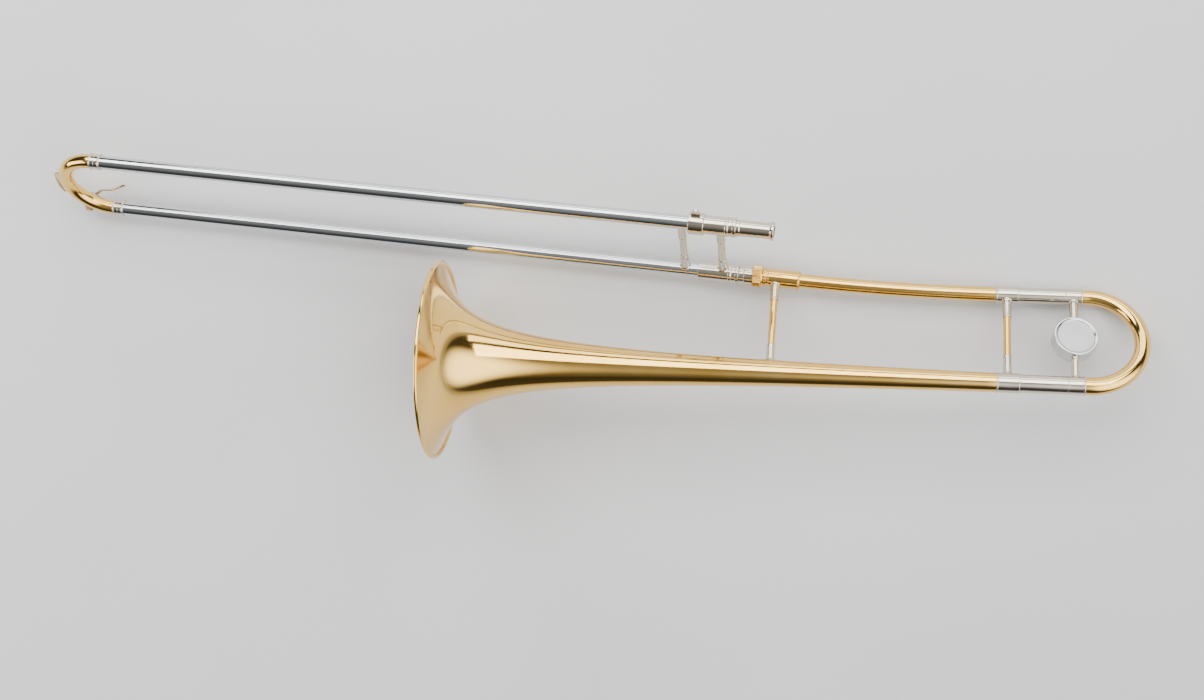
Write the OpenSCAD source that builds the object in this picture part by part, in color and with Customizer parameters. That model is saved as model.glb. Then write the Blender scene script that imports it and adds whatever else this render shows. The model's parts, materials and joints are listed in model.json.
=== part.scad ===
// Tenor trombone, assembled and lying on a floor.
// Origin: centre of the mouthpiece receiver's mouth. +X points out of that mouth, +Z is up.

/* [Bell] */
// Bell mouth diameter
bell_d = 203.2; // [190:0.1:220]
// Sheet thickness of the bell
bell_wall = 0.6; // [0.5:0.1:1]
// Length over which the flare opens: smaller opens later
flare = 19.8; // [15:0.1:26]
// Diameter of the rolled rim
bead_d = 4.2; // [3.4:0.1:5]
// Bell mouth to the end of the stem
stem_len = 563; // [555:1:570]

/* [Tuning slide] */
// Distance between the two legs
leg_gap = 104; // [98:0.5:108]
// Bell mouth to the near end of the ferrules
ferrule_a = 560; // [555:1:562]
// Bell mouth to the joint that opens when tuning
joint_a = 629; // [620:1:635]
// Outer radius of the gooseneck-side receiver tube
up_r = 7.85; // [7.6:0.05:8.2]
// Outer radius of the bell-side receiver tube
low_r = 9.05; // [8.8:0.05:9.4]
// Radius of the counterweight
weight_r = 22; // [20:0.5:26]
// Thickness of the counterweight
weight_t = 17; // [12:0.5:20]

/* [Gooseneck] */
// Angle between the hand slide and the bell
spread = 5; // [4:0.1:6]
// Length of the curved tube
neck_len = 190; // [170:1:190]
// Outer radius of the gooseneck
neck_r = 7.6; // [7.3:0.05:7.6]

/* [Hand slide] */
// Distance between the two slide tubes
slide_w = 82.5; // [78:0.5:88]
// Bore diameter
bore_d = 12.7; // [12.6:0.1:12.7]
// Bore where the mouthpiece's shank enters
shank_d = 12.7; // [12.3:0.1:12.7]
// Mouthpiece receiver's mouth to the far end of the bow
slide_len = 780; // [740:1:800]
// Closed end of the outer tubes, from the mouthpiece receiver's mouth
outer_end = 66; // [66:0.5:68]
// Cork barrel length
barrel_len = 42; // [40:0.5:44]

/* [Receiver] */
// Lock nut radius
nut_r = 11; // [10.9:0.1:12.5]
// Width of the lock nut
nut_w = 11; // [11:0.1:12]

/* [Hidden] */
$fn = 96;

// Bell axis: a runs from the bell mouth to the tuning bow, b towards the gooseneck.
bell_r = bell_d / 2;
bead_r = bead_d / 2;
neck_bend = neck_len * 180 / (PI * spread);
neck_a0 = ferrule_a - 7 - neck_bend * sin(spread);
neck_b0 = leg_gap + neck_bend * (1 - cos(spread));
sleeve_x = 25;
rim_x = sleeve_x - neck_a0 * cos(spread) + neck_b0 * sin(spread);
rim_y = -neck_a0 * sin(spread) - neck_b0 * cos(spread);
// Roll at which the lowest points of the bell rim and the lock nut are level
roll = asin((bell_r - nut_r) / -rim_y);

// Hand slide: radii of the running tubes
bore_r = bore_d / 2;
inner_r = bore_r + 0.39;
stocking_r = inner_r + 0.05;
outer_bore_r = stocking_r + 0.05;
outer_r = outer_bore_r + 0.46;
barrel_r = 9.6;
barrel_end = 38;
barrel_tip = barrel_end + barrel_len;
bow_r = 7.5;
bow_c = slide_len - slide_w / 2 - bow_r;
ferrule_len = 12;
inner_brace_x = 54.5;
outer_brace_x = 94;
stocking_len = 120;

// Water key: where it sits on the bow, measured from the lower tube
key_at = 35;

function bell_at(a) = bell_r * pow(flare / (a + flare), 0.7);

// Places children, drawn with the mouthpiece tube on the X axis, as the instrument lies.
module lying() {
    rotate([-roll, 0, 0]) children();
}

// Children's X axis is the bell axis, Y points to the gooseneck.
module on_bell() {
    lying() translate([rim_x, rim_y, -slide_w]) rotate([0, 0, spread]) children();
}

// Children's X axis is the tube joined to the gooseneck.
module on_lower() {
    lying() translate([0, 0, -slide_w]) children();
}

// Tube along +X from x0 to x1.
module pipe(x0, x1, r, hole) {
    translate([x0, 0, 0]) rotate([0, 90, 0]) difference() {
        cylinder(r = r, h = x1 - x0);
        translate([0, 0, -1]) cylinder(r = hole, h = x1 - x0 + 2);
    }
}

// Solid along +X from x0 to x1, tapering from r0 to r1.
module rod(x0, x1, r0, r1) {
    translate([x0, 0, 0]) rotate([0, 90, 0]) cylinder(r1 = r0, r2 = r1, h = x1 - x0);
}

// Ring of half-round beading round the X axis.
module beading(x, r, size) {
    translate([x, 0, 0]) rotate([0, 90, 0]) rotate_extrude() translate([r, 0]) circle(size, $fn = 32);
}

// Bent tube in the XY plane: radius of the bend, tube radii, start and sweep angles.
module bend(radius, r, hole, from, sweep) {
    rotate([0, 0, from]) rotate_extrude(angle = sweep) translate([radius, 0]) difference() {
        circle(r, $fn = 48);
        circle(hole, $fn = 48);
    }
}

// ---- Bell section ----

module bell() {
    outer = [for (i = [0:30]) let (a = stem_len * pow(i / 30, 2.2)) [bell_at(a), a]];
    inner = [for (i = [30:-1:0]) let (a = stem_len * pow(i / 30, 2.2)) [bell_at(a) - bell_wall, a]];
    color("goldenrod") on_bell() difference() {
        rotate([0, 90, 0]) {
            rotate_extrude($fn = 128) polygon(concat(outer, inner));
            rotate_extrude($fn = 128) translate([bell_r - bead_r, 0.8]) circle(bead_r, $fn = 32);
        }
        rotate([0, 90, 0]) rotate_extrude($fn = 128) translate([bell_r - bead_r, 0.8])
            circle(bead_r - 0.6, $fn = 32);
    }
}

module rim_wire() {
    color("goldenrod") on_bell() rotate([0, 90, 0]) rotate_extrude($fn = 128)
        translate([bell_r - bead_r, 0.8]) circle(bead_r - 0.65, $fn = 32);
}

module bell_ferrule() {
    color("silver") on_bell() difference() {
        union() {
            rod(ferrule_a, ferrule_a + 23, low_r + 1.05, low_r + 1.05);
            beading(ferrule_a + 1, low_r + 0.9, 0.8);
        }
        rod(ferrule_a - 2, stem_len + 0.5, 9.6, 9.6);
        rod(stem_len, ferrule_a + 24, low_r, low_r);
    }
}

module bell_receiver_tube() {
    color("silver") on_bell() pipe(stem_len + 1, joint_a, low_r, low_r - 0.57);
}

module gooseneck() {
    // both ends run on a little, into the sleeve and the ferrule
    tuck = spread * 10 / neck_len;
    color("goldenrod") on_bell() translate([ferrule_a - 7, leg_gap + neck_bend, 0])
        rotate([0, 0, -90 - spread - tuck])
        rotate_extrude(angle = spread + 2 * tuck, $fn = 2400) translate([neck_bend, 0]) difference() {
            circle(neck_r, $fn = 48);
            circle(bore_r + 0.35, $fn = 48);
        }
}

module neck_ferrule() {
    color("silver") on_bell() translate([0, leg_gap, 0]) difference() {
        union() {
            rod(ferrule_a, ferrule_a + 23, up_r + 0.85, up_r + 0.85);
            beading(ferrule_a + 1, up_r + 0.7, 0.8);
        }
        rod(ferrule_a - 2, stem_len + 0.5, neck_r, neck_r);
        rod(stem_len, ferrule_a + 24, up_r, up_r);
    }
}

module neck_receiver_tube() {
    color("silver") on_bell() translate([0, leg_gap, 0])
        pipe(stem_len + 1, joint_a, up_r, up_r - 0.57);
}

module receiver_sleeve() {
    color("goldenrod") on_lower() difference() {
        union() {
            rod(-7.9, sleeve_x, 9.3, 9.3);
            beading(sleeve_x - 1, 9.2, 0.9);
        }
        rod(-9, sleeve_x - 11, 8.6, 8.6);
        rod(sleeve_x - 12, sleeve_x + 1, neck_r, neck_r);
    }
}

module receiver_socket() {
    color("goldenrod") on_lower() difference() {
        union() {
            rod(-20, sleeve_x - 11.2, 8.6, 8.6);
            rod(-20, -17.6, 10, 10);
            rod(-12.4, -10.8, 10, 10);
            rod(-10.8, -9.2, 9.5, 9.5);
        }
        rod(-20.01, 8, 7.98, 7.27);
        rod(7.9, sleeve_x - 10, bore_r + 0.4, bore_r + 0.4);
    }
}

// Brace between two tubes: a slim tube with a socket at each end, along +Y from y0 to y1.
module brace_tube(y0, y1, r, hole) {
    rotate([0, 0, 90]) pipe(y0, y1, r, hole);
}

// Socket along Y whose foot, at y0, spreads a little; it holds a tube of radius hold to depth.
module socket(y0, y1, r, hold, depth) {
    rotate([0, 0, 90]) difference() {
        union() {
            rod(min(y0, y1), max(y0, y1), r, r);
            if (y1 > y0) rod(y0, y0 + 3, r + 1.2, r);
            else rod(y0 - 3, y0, r, r + 1.2);
        }
        if (y1 > y0) rod(y1 - depth, y1 + 1, hold, hold);
        else rod(y1 - 1, y1 + depth, hold, hold);
    }
}

front_a = neck_a0 - 25;
front_b = neck_b0 + 25 * tan(spread);
front_low = 13.2;

module front_brace_tube() {
    color("goldenrod") on_bell() translate([front_a, 0, 0])
        brace_tube(front_low + 10, front_b - 18, 3.7, 3.1);
}

module front_brace_sockets() {
    color("silver") on_bell() difference() {
        translate([front_a, 0, 0]) {
            socket(front_low - 1, front_low + 20, 4.3, 3.7, 10);
            socket(front_b - 7, front_b - 28, 4.3, 3.7, 10);
        }
        translate([front_a, front_b, 0]) rotate([0, 0, -spread]) rod(-30, 30, 9.3, 9.3);
        rod(front_a - 12, front_a + 12, bell_at(front_a - 12) + 0.81, bell_at(front_a + 12) + 0.81);
    }
}

// Pointed flange that spreads the front brace's load over the bell stem.
module bell_saddle() {
    edge = [for (i = [-4:4]) front_a + i * 6];
    color("silver") on_bell() intersection() {
        rotate([0, 90, 0]) rotate_extrude() polygon(concat(
            [for (a = edge) [bell_at(a) + 0.8, a]],
            [for (i = [8:-1:0]) [bell_at(edge[i]) + 0.02, edge[i]]]
        ));
        translate([front_a, 5, 0]) rotate([-90, 0, 0]) linear_extrude(20) polygon([
            [-24, 0], [-13, -2.2], [-6, -6.5], [0, -8.5], [6, -6.5], [13, -2.2],
            [24, 0], [13, 2.2], [6, 6.5], [0, 8.5], [-6, 6.5], [-13, 2.2]
        ]);
    }
}

rear_a = ferrule_a + 11.5;

module rear_brace_tube() {
    color("goldenrod") on_bell() translate([rear_a, 0, 0])
        brace_tube(low_r + 12, leg_gap - up_r - 9.5, 3.7, 3.1);
}

module rear_brace_sockets() {
    color("silver") on_bell() difference() {
        translate([rear_a, 0, 0]) {
            socket(low_r, low_r + 22, 4.3, 3.7, 10);
            socket(leg_gap - up_r, leg_gap - up_r - 19.5, 4.3, 3.7, 10);
        }
        rod(rear_a - 10, rear_a + 10, low_r + 1.05, low_r + 1.05);
        translate([0, leg_gap, 0]) rod(rear_a - 10, rear_a + 10, up_r + 0.85, up_r + 0.85);
    }
}

// ---- Lock nut ----

module lock_nut() {
    x1 = -13;
    x0 = x1 - nut_w;
    color("goldenrod") on_lower() difference() {
        union() {
            rod(x0, x0 + 1, nut_r - 0.6, nut_r);
            rod(x0 + 1, x1 - 1.4, nut_r, nut_r);
            rod(x1 - 1.4, x1, nut_r, nut_r - 0.9);
        }
        rod(x0 - 1, -17.2, 10.4, 10.4);
        rod(-17.3, x1 + 1, 8.7, 8.7);
        for (i = [0:59]) rotate([i * 6, 0, 0]) translate([x0 - 1, -0.25, nut_r - 0.3])
            cube([nut_w + 2, 0.5, 1]);
    }
}

// ---- Tuning slide ----

bow_end_a = joint_a + 16;
tune_r = leg_gap / 2;
tune_c = bow_end_a + 5.5;
leg_up = up_r - 0.65;
leg_low = low_r - 0.65;

module tuning_bow() {
    mid = (up_r + low_r) / 2 - 0.3;
    color("goldenrod") on_bell() {
        pipe(bow_end_a, tune_c, low_r - 0.3, leg_low - 0.6);
        translate([0, leg_gap, 0]) pipe(bow_end_a, tune_c, up_r - 0.3, leg_up - 0.6);
        translate([tune_c, tune_r, 0]) {
            bend(tune_r, low_r - 0.3, leg_low - 0.6, -90, 60);
            bend(tune_r, mid, mid - 0.9, -30, 60);
            bend(tune_r, up_r - 0.3, leg_up - 0.6, 30, 60);
        }
    }
}

module tuning_leg_upper() {
    color("silver") on_bell() translate([0, leg_gap, 0])
        pipe(stem_len + 2, bow_end_a, leg_up, leg_up - 0.4);
}

module tuning_leg_lower() {
    color("silver") on_bell() pipe(stem_len + 2, bow_end_a, leg_low, leg_low - 0.4);
}

module tuning_ferrule(r, hold) {
    difference() {
        union() {
            rod(joint_a + 0.3, bow_end_a + 1, r, r);
            beading(bow_end_a, r - 0.1, 0.8);
        }
        rod(joint_a - 1, bow_end_a + 0.01, hold, hold);
        rod(bow_end_a, bow_end_a + 2, r - 0.3, r - 0.3);
    }
}

module tuning_ferrule_upper() {
    color("silver") on_bell() translate([0, leg_gap, 0]) tuning_ferrule(up_r, leg_up);
}

module tuning_ferrule_lower() {
    color("silver") on_bell() tuning_ferrule(low_r, leg_low);
}

// Counterweight disc on a post from each ferrule, turned a little about the posts.
weight_a = joint_a + 8;
weight_b = leg_gap / 2 + 1;
weight_turn = 7;

module weight_post_upper() {
    color("silver") on_bell() difference() {
        translate([weight_a, 0, 0]) socket(leg_gap - up_r + 1, weight_b + weight_r - 2, 4.3, 0.01, 0.01);
        translate([0, leg_gap, 0]) rod(weight_a - 8, weight_a + 8, up_r, up_r);
        translate([weight_a, weight_b, 0]) rotate([0, weight_turn, 0])
            cylinder(r = weight_r, h = weight_t, center = true);
    }
}

module weight_post_lower() {
    color("silver") on_bell() difference() {
        translate([weight_a, 0, 0]) socket(low_r - 1, weight_b - weight_r + 2, 4.3, 0.01, 0.01);
        rod(weight_a - 8, weight_a + 8, low_r, low_r);
        translate([weight_a, weight_b, 0]) rotate([0, weight_turn, 0])
            cylinder(r = weight_r, h = weight_t, center = true);
    }
}

module on_weight() {
    on_bell() translate([weight_a, weight_b, 0]) rotate([0, weight_turn, 0]) children();
}

module counterweight() {
    half = weight_t / 2;
    color("gainsboro") on_weight() rotate_extrude() polygon([
        [0, -half + 3.1], [weight_r, -half + 3.1], [weight_r, half - 1.6], [weight_r - 1.6, half],
        [weight_r - 4, half], [weight_r - 5, half - 1.2], [0, half - 1.2]
    ]);
}

module weight_cover() {
    half = weight_t / 2;
    color("gainsboro") on_weight() rotate_extrude() polygon([
        [0, -half], [weight_r - 1.6, -half], [weight_r, -half + 1.6], [weight_r, -half + 3],
        [0, -half + 3]
    ]);
}

// ---- Hand slide, inner ----

module tenon() {
    color("silver") on_lower() difference() {
        union() {
            rod(-20.5, 7, 7.93, 7.24);
            rod(-32, -20.5, 9.9, 9.9);
            rod(-barrel_end + 0.3, -32, 9.2, 9.2);
        }
        rod(-barrel_end - 1, 2, inner_r + 0.05, inner_r + 0.05);
        rod(1.9, 8, bore_r, bore_r);
    }
}

module mouthpiece_receiver() {
    color("silver") lying() difference() {
        union() {
            rod(-barrel_end, -6, 8.6, 8.2);
            rod(-6, 0, 8.2, 8.4);
            beading(-1.4, 8.2, 1.4);
            rod(-3, 0, 9, 9);
        }
        rod(-9, 0.01, shank_d / 2, shank_d / 2);
        rod(-barrel_end - 1, -8.9, inner_r, inner_r);
    }
}

module leadpipe() {
    color("goldenrod") lying() difference() {
        rod(-220, -9.2, bore_r - 0.02, bore_r - 0.02);
        rod(-80, -9.1, 5.75, 6.1);
        rod(-221, -79.9, 6.05, 5.75);
    }
}

// Sleeve that the closed outer tube runs into, with its bumper inside.
module barrel() {
    difference() {
        union() {
            rod(-barrel_tip, -barrel_end, barrel_r, barrel_r);
            rod(-barrel_end - 3, -barrel_end, barrel_r + 0.7, barrel_r + 0.7);
            beading(-barrel_end - 9, barrel_r - 0.1, 0.7);
        }
        rod(-barrel_tip - 1, -60, outer_r + 0.6, outer_r + 0.6);
        rod(-61, -barrel_end + 1, inner_r, inner_r);
    }
}

module barrel_upper() {
    color("silver") lying() difference() {
        barrel();
        translate([-barrel_tip + 5, 0, 0]) rotate([0, 0, 90]) rod(7, 12, 0.8, 0.8);
    }
}

module barrel_lower() {
    color("silver") on_lower() barrel();
}

// Running tube with the slightly thicker stocking at its far end.
module inner_tube(x1) {
    difference() {
        union() {
            rod(-slide_len + 65, x1, inner_r, inner_r);
            rod(-slide_len + 65, -slide_len + 65 + stocking_len, stocking_r, stocking_r);
        }
        rod(-slide_len, x1 + 1, bore_r, bore_r);
    }
}

module inner_tube_upper() {
    color("silver") lying() inner_tube(-9.7);
}

module inner_tube_lower() {
    color("silver") on_lower() inner_tube(1.7);
}

// Brace along Z between the slide tubes, in the plane x.
module slide_brace_tube(x, r) {
    translate([-x, 0, -slide_w + 16]) difference() {
        cylinder(r = r, h = slide_w - 32);
        translate([0, 0, -1]) cylinder(r = r - 0.6, h = slide_w);
    }
}

module slide_brace_sockets(x, r, hold, tube) {
    difference() {
        for (flip = [0, 1]) translate([-x, 0, -slide_w / 2]) mirror([0, 0, flip]) {
            translate([0, 0, slide_w / 2 - 26]) cylinder(r = r, h = 26);
            translate([0, 0, slide_w / 2 - tube - 3]) cylinder(r1 = r, r2 = r + 1.5, h = 4);
        }
        rod(-x - 10, -x + 10, tube, tube);
        translate([0, 0, -slide_w]) rod(-x - 10, -x + 10, tube, tube);
        translate([-x, 0, -slide_w + 16]) cylinder(r = hold, h = slide_w - 32);
    }
}

module inner_brace_tube() {
    color("silver") lying() slide_brace_tube(inner_brace_x, 3.9);
}

module inner_brace_sockets() {
    color("silver") lying() slide_brace_sockets(inner_brace_x, 4.5, 3.9, barrel_r);
}

module bumper_upper() {
    color("dimgray") lying() pipe(-outer_end + 0.4, -60, outer_r + 0.5, inner_r + 0.01);
}

module bumper_lower() {
    color("dimgray") on_lower() pipe(-outer_end + 0.4, -60, outer_r + 0.5, inner_r + 0.01);
}

// Small screw that stops the lock ring at each end of its slot.
module lock_screw() {
    color("silver") lying() translate([-barrel_tip + 5, 0, 0]) rotate([0, 0, 90]) {
        rod(outer_r + 0.7, 11.9, 0.8, 0.8);
        rod(11.9, 12.7, 1.7, 1.3);
    }
}

// ---- Slide lock ----

module lock_ring() {
    tip = barrel_tip;
    color("silver") lying() difference() {
        union() {
            rod(-tip - 5.2, -tip + 9, 11.3, 11.3);
            rod(-tip - 6.2, -tip - 5.2, 10.4, 11.3);
            rod(-tip + 9, -tip + 9.8, 11.3, 10.6);
            // thumb tab
            translate([-tip - 3, -1.1, 8]) cube([9, 2.2, 9.5]);
            translate([-tip + 1.5, 1.1, 17.5]) rotate([90, 0, 0]) cylinder(r = 4.5, h = 2.2);
        }
        rod(-tip - 0.3, -tip + 11, barrel_r + 0.06, barrel_r + 0.06);
        rod(-tip - 4.2, -tip, 9.9, 9.9);
        rod(-tip - 7, -tip - 4, outer_r + 0.4, outer_r + 0.4);
        // the way out for the catch, below the tube
        translate([-tip - 7, -1.8, -9.9]) cube([4, 3.6, 9]);
        // slot for the stop screw
        rotate([49, 0, 0]) rotate([0, 90, 0]) rotate_extrude(angle = 47)
            translate([8, -tip + 3.9]) square([6, 2.2]);
    }
}

// ---- Hand slide, outer ----

module outer_tube() {
    pipe(-bow_c + 5, -outer_end, outer_r, outer_bore_r);
}

module outer_tube_upper() {
    color("gainsboro") lying() outer_tube();
}

module outer_tube_lower() {
    color("gainsboro") on_lower() outer_tube();
}

module bow_ferrule() {
    difference() {
        union() {
            rod(-bow_c, -bow_c + ferrule_len, 8.1, 8.1);
            beading(-bow_c + 1, 8, 0.8);
            beading(-bow_c + ferrule_len - 1, 8, 0.8);
        }
        rod(-bow_c - 1, -bow_c + ferrule_len + 1, outer_r, outer_r);
    }
}

module bow_ferrule_upper() {
    color("silver") lying() bow_ferrule();
}

module bow_ferrule_lower() {
    color("silver") on_lower() bow_ferrule();
}

// Children are drawn in the XY plane round the bow's centre, X forward and Y to the upper tube.
module on_bow() {
    lying() translate([-bow_c, 0, -slide_w / 2]) rotate([90, 0, 180]) children();
}

module slide_bow() {
    color("goldenrod") on_bow() {
        difference() {
            bend(slide_w / 2, bow_r, bore_r + 0.35, -90, 180);
            rotate([0, 0, -90 + key_at]) translate([slide_w / 2, 0, 0]) rotate([0, 90, 0])
                cylinder(r = 2.2, h = 12);
        }
        for (s = [-1, 1]) translate([0, s * slide_w / 2, 0]) pipe(-4.9, 0, outer_r, bore_r + 0.35);
    }
}

// Thin strip that stands off the far end of the bow and takes the knocks.
module bow_guard() {
    reach = slide_w / 2 + bow_r;
    color("silver") on_bow() difference() {
        union() {
            intersection() {
                difference() {
                    translate([0, 0, -3.5]) cylinder(r = reach + 4, h = 7);
                    translate([0, 0, -4]) cylinder(r = reach + 2.8, h = 8);
                }
                translate([0, -18, -5]) cube([80, 36, 10]);
            }
            for (s = [-1, 1]) rotate([0, 0, s * 17]) translate([reach - 2, 0, 0]) rotate([0, 90, 0])
                cylinder(r = 2.4, h = 5.4);
        }
        rotate_extrude() translate([slide_w / 2, 0]) circle(bow_r, $fn = 48);
    }
}

module outer_brace_tube() {
    color("silver") lying() slide_brace_tube(outer_brace_x, 3.7);
}

module outer_brace_sockets() {
    color("silver") lying() slide_brace_sockets(outer_brace_x, 4.4, 3.7, outer_r);
}

// Lug on the outer tube that the lock ring holds.
module lock_catch() {
    color("silver") lying() difference() {
        translate([-barrel_tip - 3.4, -1.4, -9.4]) cube([2.6, 2.8, 4]);
        rod(-barrel_tip - 6, -barrel_tip + 2, outer_r, outer_r);
    }
}

// Children: X outward from the bow tube, Y along it, Z towards the player's right, at the key.
module on_key() {
    on_bow() rotate([0, 0, -90 + key_at]) translate([slide_w / 2, 0, 0]) children();
}

pivot_x = 7;
pivot_z = 11;

module key_nipple() {
    color("goldenrod") on_key() difference() {
        rotate([0, 90, 0]) union() {
            cylinder(r = 4.6, h = 8.6);
            cylinder(r = 3.6, h = 11);
        }
        rotate([0, 90, 0]) cylinder(r = 2.2, h = 12);
        translate([-slide_w / 2, 0, 0]) rotate_extrude() translate([slide_w / 2, 0]) circle(bow_r, $fn = 48);
    }
}

module key_saddle() {
    color("silver") on_key() difference() {
        for (s = [-1, 1]) translate([pivot_x, s * 6.7 - 1.4, pivot_z]) rotate([-90, 0, 0])
            linear_extrude(2.8) polygon([
                [-2.3, 0], [-1.6, -1.7], [0, -2.3], [1.6, -1.7], [2.3, 0], [1.5, 9], [-9, 5]
            ]);
        translate([-slide_w / 2, 0, 0]) rotate_extrude() translate([slide_w / 2, 0]) circle(bow_r, $fn = 48);
        translate([pivot_x, -10, pivot_z]) rotate([-90, 0, 0]) cylinder(r = 1, h = 20);
        rotate([0, 90, 0]) cylinder(r = 4.6, h = 12);
    }
}

// ---- Water key ----

// Flat blade of the given width whose outline is drawn in the XZ plane.
module blade(width, points) {
    translate([0, width / 2, 0]) rotate([90, 0, 0]) linear_extrude(width) polygon(points);
}

module water_key() {
    color("silver") on_key() difference() {
        union() {
            translate([pivot_x, -5, pivot_z]) rotate([-90, 0, 0]) cylinder(r = 2.2, h = 10);
            // arm over the end of the bow to the cork cup
            blade(3.2, [
                [8, 12.5], [12, 12.2], [16.5, 9], [18.6, 4], [18.6, 0], [16.4, 0], [16.2, 4],
                [13, 8.5], [8, 10]
            ]);
            translate([13.2, 0, 0]) rotate([0, 90, 0]) cylinder(r = 5, h = 4.4);
            // long arm back to the touch, inside the slide
            translate([pivot_x, 0, pivot_z]) rotate([0, 0, 28]) {
                blade(3, [
                    [0, 2], [-4, 5], [-9, 6.9], [-15, 5.6], [-23, 3.6], [-32, 3.2], [-40, 4],
                    [-45, 5], [-45, 3.4], [-40, 2.4], [-32, 1.6], [-23, 1.9], [-15, 3.8],
                    [-9, 5], [-5, 3.4], [0, -1]
                ]);
                translate([-44.5, 0, 3.2]) cylinder(r = 2.3, h = 1.8);
            }
        }
        translate([pivot_x, -10, pivot_z]) rotate([-90, 0, 0]) cylinder(r = 1.05, h = 20);
        translate([13, 0, 0]) rotate([0, 90, 0]) cylinder(r = 4.2, h = 2.4);
    }
}

module key_cork() {
    color("tan") on_key() translate([11.02, 0, 0]) rotate([0, 90, 0]) cylinder(r = 4.1, h = 4.3);
}

module key_screw() {
    color("silver") on_key() translate([pivot_x, 0, pivot_z]) rotate([-90, 0, 0]) {
        translate([0, 0, -8]) cylinder(r = 1, h = 16.6);
        translate([0, 0, 8.2]) cylinder(r = 1.9, h = 1);
    }
}

// Torsion spring: coils round the hinge, with one end on the lever and one on the bow.
module key_spring() {
    color("dimgray") on_key() for (s = [-1, 1]) {
        translate([pivot_x, s * 3.6, pivot_z]) rotate([90, 0, 0]) rotate_extrude()
            translate([2.65, 0]) circle(0.35, $fn = 16);
    }
}

bell();
rim_wire();
bell_ferrule();
bell_receiver_tube();
gooseneck();
neck_ferrule();
neck_receiver_tube();
receiver_sleeve();
receiver_socket();
front_brace_tube();
front_brace_sockets();
bell_saddle();
rear_brace_tube();
rear_brace_sockets();
lock_nut();
tuning_bow();
tuning_leg_upper();
tuning_leg_lower();
tuning_ferrule_upper();
tuning_ferrule_lower();
weight_post_upper();
weight_post_lower();
counterweight();
weight_cover();
tenon();
mouthpiece_receiver();
leadpipe();
barrel_upper();
barrel_lower();
inner_tube_upper();
inner_tube_lower();
inner_brace_tube();
inner_brace_sockets();
bumper_upper();
bumper_lower();
lock_screw();
lock_ring();
outer_tube_upper();
outer_tube_lower();
bow_ferrule_upper();
bow_ferrule_lower();
slide_bow();
bow_guard();
outer_brace_tube();
outer_brace_sockets();
lock_catch();
key_nipple();
key_saddle();
water_key();
key_cork();
key_screw();
key_spring();
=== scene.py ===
"""Tenor trombone, assembled and lying on a pale floor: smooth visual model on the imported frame."""

import json
import math
from itertools import product

import bmesh
import bpy
from mathutils import Matrix, Vector


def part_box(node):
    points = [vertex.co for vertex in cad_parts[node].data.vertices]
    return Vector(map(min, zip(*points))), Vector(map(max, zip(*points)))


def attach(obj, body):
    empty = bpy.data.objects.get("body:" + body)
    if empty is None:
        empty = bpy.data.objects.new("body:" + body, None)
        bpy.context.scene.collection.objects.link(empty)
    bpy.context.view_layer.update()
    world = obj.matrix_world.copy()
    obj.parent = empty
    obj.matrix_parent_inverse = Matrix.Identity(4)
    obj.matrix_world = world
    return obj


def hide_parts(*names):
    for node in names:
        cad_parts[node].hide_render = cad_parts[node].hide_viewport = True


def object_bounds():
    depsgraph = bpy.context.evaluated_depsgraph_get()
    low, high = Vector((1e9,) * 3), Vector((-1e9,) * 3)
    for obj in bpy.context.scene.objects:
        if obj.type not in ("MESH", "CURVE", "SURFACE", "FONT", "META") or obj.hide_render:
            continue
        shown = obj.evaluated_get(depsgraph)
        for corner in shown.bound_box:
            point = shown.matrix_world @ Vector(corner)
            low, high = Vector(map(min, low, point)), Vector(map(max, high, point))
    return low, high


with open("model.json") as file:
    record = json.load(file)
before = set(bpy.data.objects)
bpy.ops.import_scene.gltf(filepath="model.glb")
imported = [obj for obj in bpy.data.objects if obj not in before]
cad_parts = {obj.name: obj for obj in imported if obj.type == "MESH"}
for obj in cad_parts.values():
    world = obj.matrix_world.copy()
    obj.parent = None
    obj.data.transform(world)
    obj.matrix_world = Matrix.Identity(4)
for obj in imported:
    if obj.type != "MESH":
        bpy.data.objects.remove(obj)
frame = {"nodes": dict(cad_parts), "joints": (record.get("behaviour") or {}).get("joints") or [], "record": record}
CAD_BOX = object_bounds()
MM = 0.001

# ---------------------------------------------------------------- where things are

MOUNTS = {m["name"]: m for m in frame["record"]["mounts"]}
JOINTS = {j["name"]: j for j in frame["joints"]}


def centre(*nodes):
    """Middle of the box round some CAD nodes."""
    boxes = [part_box(n) for n in nodes]
    low = [min(b[0][i] for b in boxes) for i in range(3)]
    high = [max(b[1][i] for b in boxes) for i in range(3)]
    return (Vector(low) + Vector(high)) / 2


class Axes:
    """A local frame whose coordinates are in millimetres."""

    def __init__(self, origin, x, y):
        self.origin = Vector(origin)
        self.x = Vector(x).normalized()
        self.z = self.x.cross(Vector(y)).normalized()
        self.y = self.z.cross(self.x)

    def at(self, x, y=0.0, z=0.0):
        return self.origin + (self.x * x + self.y * y + self.z * z) * MM

    def moved(self, x=0.0, y=0.0, z=0.0):
        return Axes(self.at(x, y, z), self.x, self.y)

    def turned(self, degrees, about):
        spin = Matrix.Rotation(math.radians(degrees), 3, getattr(self, about))
        return Axes(self.origin, spin @ self.x, spin @ self.y)

    def swapped(self, x, y):
        """Same origin with other directions, each a vector in this frame."""
        turn = Matrix((self.x, self.y, self.z)).transposed()
        return Axes(self.origin, turn @ Vector(x), turn @ Vector(y))


# Bell section: x from the bell's mouth to the tuning bow, y to the gooseneck.
legs = centre("neck_receiver_tube") - centre("bell_receiver_tube")
LEG_GAP = legs.length / MM
BELL = Axes(MOUNTS["bell_mouth"]["pos_m"], -Vector(MOUNTS["bell_mouth"]["axis"]), legs)
NECK = BELL.moved(y=LEG_GAP)

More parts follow.
